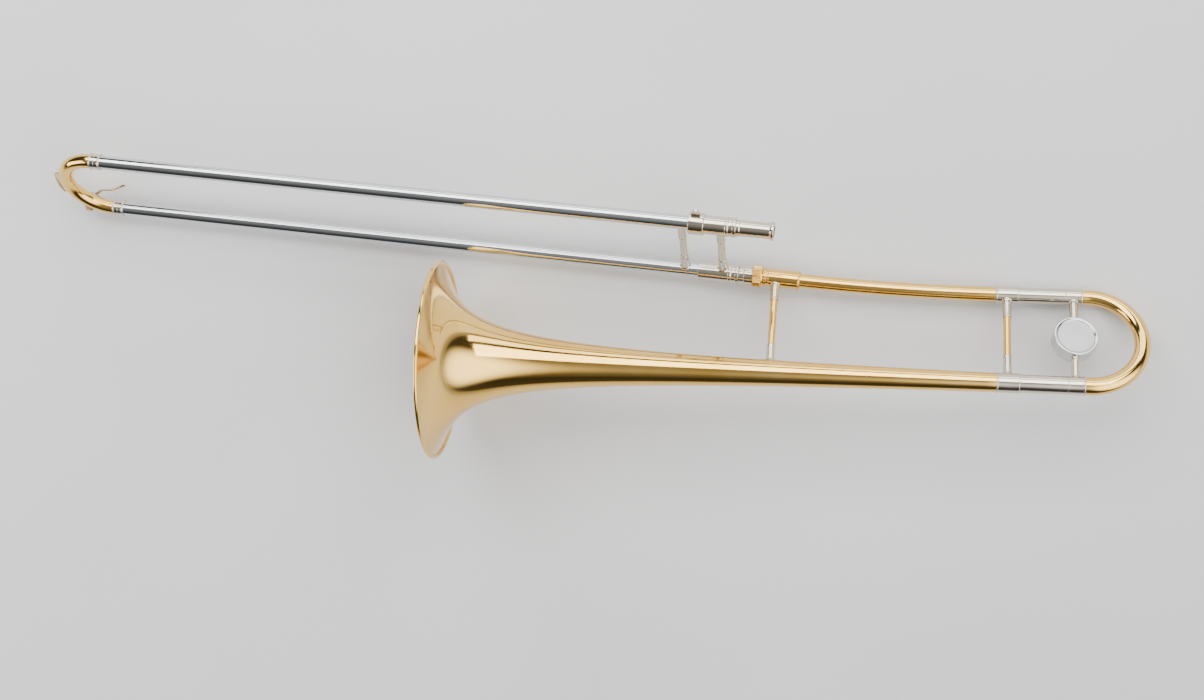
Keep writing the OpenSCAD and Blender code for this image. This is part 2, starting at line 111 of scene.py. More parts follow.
# Hand slide: x out of the mouthpiece receiver, z from the lower tube to the upper one.
low = Vector(JOINTS["bell_angle"]["pos_m"])
SLIDE_W = low.length / MM
UPPER = Axes((0, 0, 0), (1, 0, 0), (-low).cross(Vector((1, 0, 0))))
LOWER = UPPER.moved(z=-SLIDE_W)
SHANK_R = MOUNTS["mouthpiece_receiver"]["dims"]["r_mm"]

# Slide bow: x forward, y to the upper tube, z to the player's right.
BOW_R = 7.5
BOW_C = -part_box("bow_ferrule_upper")[0].x / MM
BOW = UPPER.moved(x=-BOW_C, z=-SLIDE_W / 2).swapped((-1, 0, 0), (0, 0, 1))

# Water key: x outward from the bow's tube, y along it, z to the player's right.
KEY_AT = 35
KEY = BOW.turned(-90 + KEY_AT, "z").moved(x=SLIDE_W / 2)
PIVOT_X, PIVOT_Z = 7.0, 11.0

# Sizes shared with the CAD model, in millimetres.
BELL_R, FLARE, SHEET, BEAD, BORE = 101.6, 19.8, 0.6, 2.1, 6.35
STEM_LEN, FERRULE_A, JOINT_A, BOW_END_A = 563.0, 560.0, 629.0, 645.0
UP_R, LOW_R, NECK_R = 7.85, 9.05, 7.6
SPREAD, NECK_LEN, SLEEVE_X = 5.0, 190.0, 25.0
BEND = NECK_LEN / math.radians(SPREAD)
NECK_A0 = FERRULE_A - 7 - BEND * math.sin(math.radians(SPREAD))
NECK_B0 = LEG_GAP + BEND * (1 - math.cos(math.radians(SPREAD)))
INNER_R, STOCKING_R, OUTER_BORE, OUTER_R = BORE + 0.39, BORE + 0.44, BORE + 0.49, BORE + 0.95
INNER_END, OUTER_END = 715.0, 66.0
BARREL_R, BARREL_END, BARREL_TIP = 9.6, 38.0, 80.0
FRONT_A, FRONT_B = NECK_A0 - 25, NECK_B0 + 25 * math.tan(math.radians(SPREAD))
REAR_A, WEIGHT_A = FERRULE_A + 11.5, JOINT_A + 8
WEIGHT_R, WEIGHT_T, WEIGHT_TURN = 22.0, 17.0, 7.0
NUT_R, NUT_X0, NUT_X1 = 11.0, -24.0, -13.0
BRACE_R, BRACE_HOLE, SOCKET_R, SOCKET_HOLD, SOCKET_DEEP = 3.7, 3.1, 4.3, 3.72, 9.5
SLIDE_SOCKET, SLIDE_BRACE = 26, 16
INNER_BRACE_X, OUTER_BRACE_X = 54.5, 94
ARM_TURN, ARM_LEN = 28, 46.7

# ---------------------------------------------------------------- materials


class Look:
    """A node material built up from a Principled shader."""

    def __init__(self, name, **sockets):
        self.material = bpy.data.materials.new(name)
        self.material.use_nodes = True
        self.tree = self.material.node_tree
        self.shader = self.tree.nodes["Principled BSDF"]
        self.where = self.add("ShaderNodeTexCoord").outputs["Object"]
        for socket, value in sockets.items():
            self.shader.inputs[socket.replace("_", " ")].default_value = value

    def add(self, kind, **settings):
        node = self.tree.nodes.new(kind)
        for key, value in settings.items():
            setattr(node, key, value)
        return node

    def join(self, output, socket):
        self.tree.links.new(output, socket)
        return self

    def stretched(self, scale):
        """Object coordinates, scaled by a different amount on each axis."""
        node = self.add("ShaderNodeMapping")
        node.inputs["Scale"].default_value = scale
        self.join(self.where, node.inputs["Vector"])
        return node.outputs["Vector"]

    def noise(self, scale, detail=4.0, where=None):
        node = self.add("ShaderNodeTexNoise")
        node.inputs["Scale"].default_value = scale
        node.inputs["Detail"].default_value = detail
        self.join(where or self.where, node.inputs["Vector"])
        return node.outputs["Fac"]

    def ramp(self, output, *stops):
        """Colour ramp: stops are (position, colour or grey)."""
        node = self.add("ShaderNodeValToRGB")
        elements = node.color_ramp.elements
        while len(elements) < len(stops):
            elements.new(0.5)
        for element, (position, colour) in zip(elements, stops):
            element.position = position
            grey = isinstance(colour, (int, float))
            element.color = (colour, colour, colour, 1) if grey else (*colour, 1)
        self.join(output, node.inputs["Fac"])
        return node.outputs["Color"]

    def span(self, output, low, high, start=0.3, end=0.7):
        """Map a noise value to a range."""
        node = self.add("ShaderNodeMapRange")
        for socket, value in (
            ("From Min", start),
            ("From Max", end),
            ("To Min", low),
            ("To Max", high),
        ):
            node.inputs[socket].default_value = value
        self.join(output, node.inputs["Value"])
        return node.outputs["Result"]

    def colour(self, output):
        return self.join(output, self.shader.inputs["Base Color"])

    def rough(self, output, low, high, start=0.3, end=0.7):
        return self.join(self.span(output, low, high, start, end), self.shader.inputs["Roughness"])

    def bump(self, *layers):
        """Stack bumps: each layer is (height output, depth in metres, strength)."""
        last = None
        for height, depth, strength in layers:
            node = self.add("ShaderNodeBump")
            node.inputs["Strength"].default_value = strength
            node.inputs["Distance"].default_value = depth
            self.join(height, node.inputs["Height"])
            if last:
                self.join(last, node.inputs["Normal"])
            last = node.outputs["Normal"]
        return self.join(last, self.shader.inputs["Normal"])


def polished(name, pale, deep, rough, coat=0.0, buff=0.05):
    """Buffed metal: slight colour drift, smears in the gloss, faint waviness and hairlines."""
    look = Look(name, Metallic=1.0, Coat_Weight=coat, Coat_Roughness=0.04)
    drift = look.noise(14, 3)
    smear = look.noise(55, 6)
    hair = look.noise(1, 3, look.stretched((60, 2600, 2600)))
    wave = look.noise(38, 1)
    look.colour(look.ramp(drift, (0.3, deep), (0.7, pale)))
    look.rough(smear, rough[0], rough[1])
    return look.bump((wave, 0.0004, buff), (hair, 0.00002, buff * 0.8))


def make_looks():
    brass = polished("lacquered_brass", (0.95, 0.62, 0.18), (0.88, 0.52, 0.11), (0.06, 0.12), 0.2)
    nickel = polished("nickel_silver", (0.72, 0.65, 0.54), (0.64, 0.57, 0.45), (0.10, 0.18), 0.0)
    chrome = polished("chromed_tube", (0.68, 0.69, 0.70), (0.61, 0.62, 0.64), (0.05, 0.10), 0.0)
    rim = polished("weight_rim", (0.58, 0.58, 0.57), (0.50, 0.50, 0.50), (0.09, 0.16), 0.0)

    satin = Look("weight_face", Metallic=1.0)
    satin.colour(satin.ramp(satin.noise(30), (0.3, 0.54), (0.7, 0.64)))
    satin.rough(satin.noise(160, 6), 0.36, 0.46)
    satin.bump((satin.noise(2600, 3), 0.00003, 0.35))

    cork = Look("key_cork", Specular_IOR_Level=0.25)
    grain = cork.noise(900, 6)
    dark, tan, light = (0.20, 0.10, 0.045), (0.52, 0.33, 0.17), (0.66, 0.46, 0.27)
    cork.colour(cork.ramp(grain, (0.36, dark), (0.5, tan), (0.7, light)))
    cork.rough(grain, 0.75, 0.95)
    cork.bump((grain, 0.0002, 0.6))

    felt = Look("bumper_felt", Specular_IOR_Level=0.15, Sheen_Weight=0.4)
    nap = felt.noise(2400, 6)
    felt.colour(felt.ramp(nap, (0.3, (0.02, 0.02, 0.022)), (0.7, (0.06, 0.055, 0.055))))
    felt.rough(nap, 0.85, 1.0)
    felt.bump((nap, 0.0003, 0.7))

    steel = Look("spring_steel", Metallic=1.0)
    drawn = steel.noise(1800, 4)
    steel.colour(steel.ramp(drawn, (0.3, 0.34), (0.7, 0.46)))
    steel.rough(drawn, 0.24, 0.38)
    steel.bump((drawn, 0.00002, 0.3))
    return {
        "lacquered_brass": brass,
        "nickel_silver": nickel,
        "chromed_tube": chrome,
        "counterweight": rim,
        "weight_face": satin,
        "key_cork": cork,
        "bumper_felt": felt,
        "spring_steel": steel,
        "rim_wire": brass,
    }


LOOKS = make_looks()

# ---------------------------------------------------------------- mesh helpers


def solid(name, points, faces, body, slot, nodes=()):
    """Make a closed, smooth-shaded piece, and say what it rides on and stands for."""
    mesh = bpy.data.meshes.new(name)
    mesh.from_pydata([tuple(p) for p in points], [], faces)
    bm = bmesh.new()
    bm.from_mesh(mesh)
    bmesh.ops.remove_doubles(bm, verts=bm.verts, dist=1e-7)
    bmesh.ops.delete(bm, geom=[e for e in bm.edges if not e.link_faces], context="EDGES")
    bmesh.ops.recalc_face_normals(bm, faces=bm.faces)
    for face in bm.faces:
        face.smooth = True
    bm.to_mesh(mesh)
    bm.free()
    piece = bpy.data.objects.new(name, mesh)
    bpy.context.scene.collection.objects.link(piece)
    mesh.materials.append(LOOKS[slot].material)
    weighted = piece.modifiers.new("flat faces stay flat", "WEIGHTED_NORMAL")
    weighted.keep_sharp = True
    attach(piece, body)
    if nodes:
        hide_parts(*nodes)
    return piece


def skin(rings, closed):
    """Quads between rings of points, the last joined to the first if closed."""
    points = [p for ring in rings for p in ring]
    count = len(rings[0])
    faces = []
    for i in range(len(rings) if closed else len(rings) - 1):
        a, b = i * count, ((i + 1) % len(rings)) * count
        for k in range(count):
            n = (k + 1) % count
            faces.append((a + k, a + n, b + n, b + k))
    return points, faces


def eased(outline, size=0.25, steps=4):
    """Round the corners of a closed (x, r) outline. A point may carry a radius as a third value."""
    out = []
    count = len(outline)
    for i, point in enumerate(outline):
        here = Vector(point[:2])
        before = Vector(outline[i - 1][:2]) - here
        after = Vector(outline[(i + 1) % count][:2]) - here
        radius = point[2] if len(point) > 2 else size
        reach = min(radius, before.length * 0.45, after.length * 0.45)
        if reach < 0.01 or before.angle(after, math.pi) > math.radians(172):
            out.append(tuple(here))
            continue
        start, end = here + before.normalized() * reach, here + after.normalized() * reach
        for s in range(steps + 1):
            t = s / steps
            out.append(tuple(start * (1 - t) ** 2 + here * 2 * t * (1 - t) + end * t * t))
    return out


def lathe(name, axes, outline, body, slot, nodes=(), around=96, size=0.25, knurl=None):
    """Turn a closed (x, r) outline round the frame's x axis. knurl is (x0, x1, r, count, depth)."""
    rings = []
    for x, r in eased(outline, size):
        ring = []
        for k in range(around):
            turn = 2 * math.pi * k / around
            radius = r
            if knurl and knurl[0] < x < knurl[1] and r > knurl[2]:
                radius -= knurl[4] * abs(math.sin(knurl[3] * turn / 2))
            ring.append(axes.at(x, radius * math.cos(turn), radius * math.sin(turn)))
        rings.append(ring)
    points, faces = skin(rings, closed=True)
    return solid(name, points, faces, body, slot, nodes)


def tube(x0, x1, r, hole):
    """Outline of a plain tube wall."""
    return [(x0, hole), (x1, hole), (x1, r), (x0, r)]


def ribbed(x0, x1, r, hole, *beads):
    """Outline of a tube wall with round beads: each bead is (x, size)."""
    outline = [(x0, hole), (x1, hole), (x1, r)]
    for x, size in sorted(beads, reverse=True):
        for s in range(13):
            turn = math.pi * s / 12
            outline.append((x + size * math.cos(turn), r + size * math.sin(turn) * 0.9, 0))
    return outline + [(x0, r)]


def bent(name, axes, path, radius, hole, body, slot, nodes=(), around=64):
    """Tube swept along a path in the xy plane. path, radius and hole are functions of 0 to 1."""
    steps = 96
    outer, inner = [], []
    for i in range(steps + 1):
        t = i / steps
        here = Vector(path(t))
        ahead = Vector(path(min(1, t + 1e-4))) - Vector(path(max(0, t - 1e-4)))
        side = Vector((-ahead.y, ahead.x)).normalized()
        for rings, r in ((outer, radius(t)), (inner, hole(t))):
            ring = []
            for k in range(around):
                turn = 2 * math.pi * k / around
                flat = here + side * r * math.cos(turn)
                ring.append(axes.at(flat.x, flat.y, r * math.sin(turn)))
            rings.append(ring)
    points, faces = skin(outer + inner[::-1], closed=True)
    return solid(name, points, faces, body, slot, nodes)


def saddle_height(axes, y, z, line, radius):
    """How far along the frame's x axis the ray at (y, z) leaves the tube round a line."""
    point, along = line
    start = axes.at(0, y, z) - point
    start -= along * start.dot(along)
    ray = axes.x - along * axes.x.dot(along)
    a, b, c = ray.dot(ray), 2 * start.dot(ray), start.dot(start) - (radius * MM) ** 2
    return (-b + math.sqrt(max(0.0, b * b - 4 * a * c))) / (2 * a) / MM


def socket(name, axes, line, tube_r, top, r, hold, depth, body, slot, foot=1.1, around=72):
    """Socket that stands on a tube, with x away from it: fitted foot and beaded mouth."""
    fitted = [(r + foot, -0.03), (r + foot, 0.25), (r + foot - 0.15, 0.5), (r + foot - 0.5, 0.62)]
    fitted += [(r + foot * 0.38, 0.9), (r + foot * 0.16, 1.6), (r + 0.05, 2.8)]
    level = [(r - 0.05, top * 0.5 + tube_r * 0.5), (r - 0.2, top - 2.6), (r - 0.18, top - 2.2)]
    level += [(r, top - 1.95), (r + 0.05, top - 1.2), (r, top - 0.4), (r - 0.2, top - 0.1)]
    level += [(hold + 0.25, top), (hold + 0.05, top - 0.15), (hold, top - 0.4), (hold, top - depth)]
    level += [(0.0, top - depth)]
    rings = [[axes.at(saddle_height(axes, 0, 0, line, tube_r - 0.03), 0, 0)] * around]
    for kind, shape in (("fitted", fitted), ("level", level)):
        for rho, value in shape:
            ring = []
            for k in range(around):
                turn = 2 * math.pi * k / around
                y, z = rho * math.cos(turn), rho * math.sin(turn)
                x = saddle_height(axes, y, z, line, tube_r + value) if kind == "fitted" else value
                ring.append(axes.at(x, y, z))
            rings.append(ring)
    points, faces = skin(rings, closed=False)
    return solid(name, points, faces, body, slot)


def joined(name, parts, *nodes):
    """Join pieces into one that stands for the given CAD nodes."""
    with bpy.context.temp_override(
        active_object=parts[0], selected_editable_objects=parts, selected_objects=parts
    ):
        bpy.ops.object.join()
    parts[0].name = name
    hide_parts(*nodes)
    return parts[0]


# ---------------------------------------------------------------- bell section


def bell_at(a):
    return BELL_R * (FLARE / (a + FLARE)) ** 0.7


def make_bell():
    """Spun bell: the sheet rolls outward round its wire at the rim."""
    middle = Vector((0.8, BELL_R - BEAD))
    steps = 110
    outer = []
    for i in range(steps + 1):
        a = STEM_LEN - (STEM_LEN - 1.22) * (1 - (1 - i / steps) ** 2.4)
        outer.append(Vector((a, bell_at(a))))
    inner = []
    for i, point in enumerate(outer):
        ahead = outer[min(i + 1, steps)] - outer[max(i - 1, 0)]
        inner.append(point + Vector((-ahead.y, ahead.x)).normalized() * SHEET * 0.9)
    if inner[-1].x > outer[-1].x:
        inner = [p * 2 - q for p, q in zip(outer, inner)]
    roll = []
    for s in range(33):
        turn = math.radians(-76 + (259 + 76) * s / 32)
        roll.append(middle + BEAD * Vector((math.cos(turn), math.sin(turn))))
    outline = [(p.x, p.y, 0) for p in outer + roll + inner[::-1]]
    return lathe("bell", BELL, outline, "bell_section", "lacquered_brass", ["bell"], around=256)


def make_bell_section():
    bell, brass, nickel = "bell_section", "lacquered_brass", "nickel_silver"
    make_bell()
    start, end = FERRULE_A + 1.2, FERRULE_A + 23
    for side, axes, r, wall, beads in (
        ("bell", BELL, LOW_R, 0.75, (1.0, 0.45)),
        ("neck", NECK, UP_R, 0.65, (0.95, 0.4)),
    ):
        name = side + "_ferrule"
        outline = ribbed(start, end, r + wall, r, (start + 0.1, beads[0]), (end - 0.6, beads[1]))
        lathe(name, axes, outline, bell, nickel, [name])
        name = side + "_receiver_tube"
        lathe(name, axes, tube(STEM_LEN + 1, JOINT_A, r, r - 0.57), bell, nickel, [name])

    tuck = 10 / BEND

    def neck_path(t):
        turn = (math.radians(SPREAD) + tuck) * (1 - t) - tuck * t
        return FERRULE_A - 7 - BEND * math.sin(turn), LEG_GAP + BEND * (1 - math.cos(turn))

    def neck_r(t):
        return 7.25 + 0.33 * t

    def neck_hole(t):
        return BORE + 0.35 + 0.25 * t

    bent("gooseneck", BELL, neck_path, neck_r, neck_hole, bell, brass, ["gooseneck"])
    lathe(
        "receiver_sleeve",
        LOWER,
        ribbed(-7.9, SLEEVE_X, 9.25, NECK_R, (SLEEVE_X - 1.1, 0.95), (-7.0, 0.3)),
        bell,
        brass,
        ["receiver_sleeve"],
    )
    lathe(
        "receiver_socket",
        LOWER,
        [
            (-20, 8.0), (8, 7.3), (8, BORE + 0.4), (13.8, BORE + 0.4), (13.8, 8.6),
            (-9.2, 8.6), (-9.2, 9.4, 0.5), (-10.8, 9.4, 0.3), (-10.8, 9.9, 0.6),
            (-12.4, 9.9, 0.6), (-12.4, 8.6), (-17.6, 8.6), (-17.6, 10), (-20, 10),
        ],
        bell,
        brass,
        ["receiver_socket"],
    )
    make_braces()


def line_of(axes):
    return axes.origin, axes.x


def pointed_saddle():
    """Ogee flange that spreads the front brace's load over the bell stem."""
    length, half, thick = 24.0, 8.2, 0.55
    rows, across = 49, 17
    top, under = [], []
    for i in range(rows):
        u = -1 + 2 * i / (rows - 1)
        wide = half * max(0.03, (math.cos(math.pi * u) * 0.5 + 0.5) ** 0.85 * (1 - 0.25 * abs(u)))
        a = FRONT_A + length * u
        upper, lower = [], []
        for k in range(across):
            v = -1 + 2 * k / (across - 1)
            edge = max(abs(u), abs(v))
            lift = thick * (1 - max(0.0, (edge - 0.86) / 0.14) ** 2 * 0.75)
            turn = v * wide / bell_at(a)
            for ring, r in ((upper, bell_at(a) + 0.03 + lift), (lower, bell_at(a) + 0.02)):
                ring.append(BELL.at(a, r * math.cos(turn), r * math.sin(turn)))
        top.append(upper)
        under.append(lower)
    rings = [u + l[::-1] for u, l in zip(top, under)]
    points, faces = skin(rings, closed=False)
    count = len(rings[0])
    faces.append(tuple(range(count)))
    faces.append(tuple((rows - 1) * count + k for k in range(count))[::-1])
    return solid("bell_saddle", points, faces, "bell_section", "nickel_silver", ["bell_saddle"])


def make_braces():
    """Two braces between the bell and the gooseneck: sockets on the tubes, a brass tube in them."""
    bell, brass = "bell_section", "lacquered_brass"
    held = (SOCKET_HOLD, SOCKET_DEEP, bell, "nickel_silver")
    foot = BELL.moved(x=FRONT_A).swapped((0, 1, 0), (0, 0, 1))
    head = BELL.moved(x=FRONT_A, y=FRONT_B).swapped((0, -1, 0), (0, 0, 1))
    stem_r = bell_at(FRONT_A) + 0.5
    pointed_saddle()
    joined(
        "front_brace_sockets",
        [
            socket("front_foot", foot, line_of(BELL), stem_r, 33.2, SOCKET_R, *held, foot=0.9),
            socket("front_head", head, line_of(LOWER), 9.25, 28, 4.5, *held, foot=0.7),
        ],
        "front_brace_sockets",
    )
    outline = tube(23.2, FRONT_B - 18, BRACE_R, BRACE_HOLE)
    lathe("front_brace_tube", foot, outline, bell, brass, ["front_brace_tube"], around=64)
    foot = BELL.moved(x=REAR_A).swapped((0, 1, 0), (0, 0, 1))
    head = NECK.moved(x=REAR_A).swapped((0, -1, 0), (0, 0, 1))
    low_r, up_r = LOW_R + 0.75, UP_R + 0.65
    joined(
        "rear_brace_sockets",
        [
            socket("rear_foot", foot, line_of(BELL), low_r, LOW_R + 22, SOCKET_R, *held),
            socket("rear_head", head, line_of(NECK), up_r, UP_R + 19.5, SOCKET_R, *held),
        ],
        "rear_brace_sockets",
    )
    outline = tube(LOW_R + 12, LEG_GAP - UP_R - 9.5, BRACE_R, BRACE_HOLE)
    lathe("rear_brace_tube", foot, outline, bell, brass, ["rear_brace_tube"], around=64)


def make_lock_nut():
    lathe(
        "lock_nut",
        LOWER,
        [
            (NUT_X0, 10.4), (-17.2, 10.4), (-17.2, 8.7), (NUT_X1, 8.7), (NUT_X1, 9.9, 0.5),
            (NUT_X1 - 1.2, NUT_R - 0.55, 0.5), (NUT_X1 - 1.6, NUT_R - 0.55, 0.1),
            (NUT_X1 - 2.0, NUT_R, 0.2), (NUT_X0 + 1.3, NUT_R, 0.2),
            (NUT_X0 + 0.9, NUT_R - 0.5, 0.1), (NUT_X0, NUT_R - 0.6, 0.4),
        ],
        "lock_nut",
        "lacquered_brass",
        ["lock_nut"],
        around=576,
        knurl=(NUT_X0 + 1.1, NUT_X1 - 1.8, NUT_R - 0.45, 72, 0.4),
    )


# ---------------------------------------------------------------- tuning slide


def make_tuning_slide():
    body, brass, nickel = "tuning_slide", "lacquered_brass", "nickel_silver"
    turn_a, half = BOW_END_A + 5.5, LEG_GAP / 2
    straight = turn_a - BOW_END_A
    whole = 2 * straight + math.pi * half

    def path(t):
        run = t * whole
        if run < straight:
            return BOW_END_A + run, 0.0
        if run > whole - straight:
            return BOW_END_A + whole - run, LEG_GAP
        turn = (run - straight) / half
        return turn_a + half * math.sin(turn), half - half * math.cos(turn)

    def radius(t):
        eased_t = t * t * (3 - 2 * t)
        return (LOW_R - 0.3) * (1 - eased_t) + (UP_R - 0.3) * eased_t

    bent("tuning_bow", BELL, path, radius, lambda t: radius(t) - 0.9, body, brass, ["tuning_bow"])
    for side, axes, r in (("upper", NECK, UP_R), ("lower", BELL, LOW_R)):
        name = "tuning_leg_" + side
        lathe(name, axes, tube(STEM_LEN + 2, BOW_END_A, r - 0.65, r - 1.05), body, nickel, [name])
        name = "tuning_ferrule_" + side
        beads = (BOW_END_A - 0.1, 0.85), (JOINT_A + 0.75, 0.25)
        outline = ribbed(JOINT_A + 0.3, BOW_END_A + 1, r, r - 0.65, *beads)
        lathe(name, axes, outline, body, nickel, [name])
    middle = centre("counterweight", "weight_cover")
    disc = Axes(middle, BELL.z, BELL.x).turned(WEIGHT_TURN, "z")
    make_counterweight(disc)
    along = (middle - BELL.origin).dot(BELL.y) / MM
    for side, leg, inward, r, gap in (
        ("upper", NECK, (0, -1, 0), UP_R, LEG_GAP - along),
        ("lower", BELL, (0, 1, 0), LOW_R, along),
    ):
        axes = leg.moved(x=WEIGHT_A).swapped(inward, (0, 0, 1))
        name, top = "weight_post_" + side, gap - WEIGHT_R + 1.2
        post = socket(name, axes, line_of(leg), r, top, SOCKET_R, 3.4, 0.6, body, nickel, foot=0.8)
        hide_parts(name)


def make_counterweight(disc):
    """Thick disc with a bright rolled rim, a sunk satin face and a cover on its back."""
    r, half = WEIGHT_R, WEIGHT_T / 2
    weight = lathe(
        "counterweight",
        disc,
        [
            (-half + 3.1, 0, 0), (-half + 3.1, r, 0.25), (half, r, 2.2), (half, r - 2.2, 0.8),
            (half - 0.5, r - 3.4, 0.4), (half - 1.2, r - 4.0, 0.3), (half - 1.0, r - 9, 0),
            (half - 0.75, 0, 0),
        ],
        "tuning_slide",
        "counterweight",
        ["counterweight"],
        around=160,
    )
    weight.data.materials.append(LOOKS["weight_face"].material)
    for face in weight.data.polygons:
        offset = face.center - disc.origin
        height = offset.dot(disc.x) / MM
        if height > half - 1.6 and (offset - disc.x * offset.dot(disc.x)).length / MM < r - 3.9:
            face.material_index = 1
    lathe(
        "weight_cover",
        disc,
        [
            (-half + 3.0, 0, 0), (-half + 3.0, r, 0.25), (-half + 1.4, r, 1.0),
            (-half, r - 2.0, 1.4), (-half, 0, 0),
        ],
        "tuning_slide",
        "counterweight",
        ["weight_cover"],
        around=160,
    )


# ---------------------------------------------------------------- hand slide


def brace(name, x, r, tube_r, bearing, body):
    """Nickel brace between the slide tubes: two sockets and a tube."""
    nickel = "nickel_silver"
    foot = LOWER.moved(x=-x).swapped((0, 0, 1), (0, 1, 0))
    head = UPPER.moved(x=-x).swapped((0, 0, -1), (0, 1, 0))
    size = (bearing, SLIDE_SOCKET, r, tube_r + 0.02, SOCKET_DEEP, body, nickel)
    joined(
        name + "_sockets",
        [
            socket(name + "_foot", foot, line_of(LOWER), *size, foot=1.4),
            socket(name + "_head", head, line_of(UPPER), *size, foot=1.4),
        ],
        name + "_sockets",
    )
    outline = tube(SLIDE_BRACE, SLIDE_W - SLIDE_BRACE, tube_r, tube_r - 0.6)
    lathe(name + "_tube", foot, outline, body, nickel, [name + "_tube"], around=64)


def make_inner_slide():
    body, nickel, chrome = "inner_slide", "nickel_silver", "chromed_tube"
    lathe(
        "mouthpiece_receiver",
        UPPER,
        [
            (0, SHANK_R, 0.3), (-9, SHANK_R), (-9, INNER_R), (-BARREL_END, INNER_R), (-BARREL_END, 8.6),
            (-BARREL_END + 1, 8.75, 0.4), (-BARREL_END + 3.2, 8.75, 0.4),
            (-BARREL_END + 4, 8.3, 0.3), (-7, 8.0, 1.0), (-4.2, 8.2, 0.5),
            (-3.4, 8.9, 0.5), (-2.6, 9.5, 0.8), (-0.4, 9.5, 0.8), (0, 8.9, 0.4),
        ],
        body,
        nickel,
        ["mouthpiece_receiver"],
    )
    outline = [(-9.2, 6.1), (-80, 5.75), (-220, 6.05), (-220, 6.33), (-9.2, 6.33)]
    lathe("leadpipe", UPPER, outline, body, "lacquered_brass", ["leadpipe"])
    for side, axes, end in (("upper", UPPER, -9.7), ("lower", LOWER, 1.7)):
        lathe(
            "barrel_" + side,
            axes,
            [
                (-BARREL_END, INNER_R), (-60, INNER_R), (-60, OUTER_R + 0.6),
                (-BARREL_TIP, OUTER_R + 0.6, 0.3), (-BARREL_TIP, BARREL_R, 0.5), (-49, BARREL_R, 0.2),
                (-48.2, BARREL_R + 0.6, 0.6), (-46.2, BARREL_R + 0.6, 0.6), (-45.4, BARREL_R, 0.2),
                (-BARREL_END - 3.6, BARREL_R, 0.3), (-BARREL_END - 3.0, BARREL_R + 0.65, 0.5),
                (-BARREL_END, BARREL_R + 0.65, 0.6),
            ],
            body,
            nickel,
            ["barrel_" + side],
        )
        stocking = -INNER_END + 120
        lathe(
            "inner_tube_" + side,
            axes,
            [
                (-INNER_END, BORE), (end, BORE), (end, INNER_R), (stocking + 2, INNER_R, 0.1),
                (stocking, STOCKING_R, 0.1), (-INNER_END, STOCKING_R),
            ],
            body,
            chrome,
            ["inner_tube_" + side],
        )
        outline = tube(-OUTER_END + 0.4, -60, OUTER_R + 0.5, INNER_R + 0.01)
        lathe("bumper_" + side, axes, outline, body, "bumper_felt", ["bumper_" + side], size=0.6)
    brace("inner_brace", INNER_BRACE_X, 4.5, 3.9, BARREL_R, body)
    lathe(
        "tenon",
        LOWER,
        [
            (-BARREL_END + 0.3, INNER_R + 0.05), (2, INNER_R + 0.05), (2, BORE), (7, BORE),
            (7, 7.24, 0.4), (-20.5, 7.93), (-20.5, 9.9, 0.5), (-32, 9.9, 0.5), (-32.6, 9.2, 0.2),
            (-BARREL_END + 0.3, 9.2, 0.4),
        ],
        "tenon",
        nickel,
        ["tenon"],
    )


def make_outer_slide():
    body, nickel, chrome = "outer_slide", "nickel_silver", "chromed_tube"
    beads = (-BOW_C + 1.0, 0.85), (-BOW_C + 11.0, 0.85), (-BOW_C + 6, 0.25)
    for side, axes in (("upper", UPPER), ("lower", LOWER)):
        name = "outer_tube_" + side
        lathe(name, axes, tube(-BOW_C + 5, -OUTER_END, OUTER_R, OUTER_BORE), body, chrome, [name])
        name = "bow_ferrule_" + side
        outline = ribbed(-BOW_C + 0.01, -BOW_C + 11.99, 8.05, OUTER_R, *beads)
        lathe(name, axes, outline, body, nickel, [name])
    half, straight = SLIDE_W / 2, 4.9
    whole = 2 * straight + math.pi * half

    def path(t):
        run = t * whole
        if run < straight:
            return run - straight, -half
        if run > whole - straight:
            return whole - straight - run, half
        turn = (run - straight) / half
        return half * math.sin(turn), -half * math.cos(turn)

    def radius(t):
        tucked = 4.5 / whole
        return OUTER_R if t < tucked or t > 1 - tucked else BOW_R

    bent("slide_bow", BOW, path, radius, lambda t: BORE + 0.35, body, "lacquered_brass", ["slide_bow"])
    make_bow_guard()
    brace("outer_brace", OUTER_BRACE_X, 4.4, BRACE_R, OUTER_R, body)


def make_bow_guard():
    """Strip with rounded edges on two short posts."""
    reach, steps = SLIDE_W / 2 + BOW_R, 40
    rings = []
    for i in range(steps + 1):
        u = -1 + 2 * i / steps
        turn = math.radians(20.2 * u)
        wide = 3.5 * math.sqrt(max(0.02, 1 - max(0.0, (abs(u) - 0.82) / 0.18) ** 2))
        ring = []
        for k in range(24):
            spin = 2 * math.pi * k / 24
            flat = math.copysign(abs(math.cos(spin)) ** 0.35, math.cos(spin)) * wide
            deep = math.copysign(abs(math.sin(spin)) ** 0.6, math.sin(spin)) * 0.58
            out = reach + 3.4 + deep
            ring.append(BOW.at(out * math.cos(turn), out * math.sin(turn), flat))
        rings.append(ring)
    points, faces = skin(rings, closed=False)
    faces.append(tuple(range(24)))
    faces.append(tuple(steps * 24 + k for k in range(24))[::-1])
    parts = [solid("guard_strip", points, faces, "outer_slide", "nickel_silver")]
    for side in (-1, 1):
        post = BOW.turned(17 * side, "z").moved(x=reach)
        outline = [(-1.4, 0, 0), (-1.4, 2.6, 0.2), (0.4, 2.3, 0.5), (1.2, 1.7, 0.6)]
        outline += [(3.3, 1.7, 0.2), (3.3, 0, 0)]
        parts.append(lathe("guard_post", post, outline, "outer_slide", "nickel_silver", around=48))
    joined("bow_guard", parts, "bow_guard")


# ---------------------------------------------------------------- water key


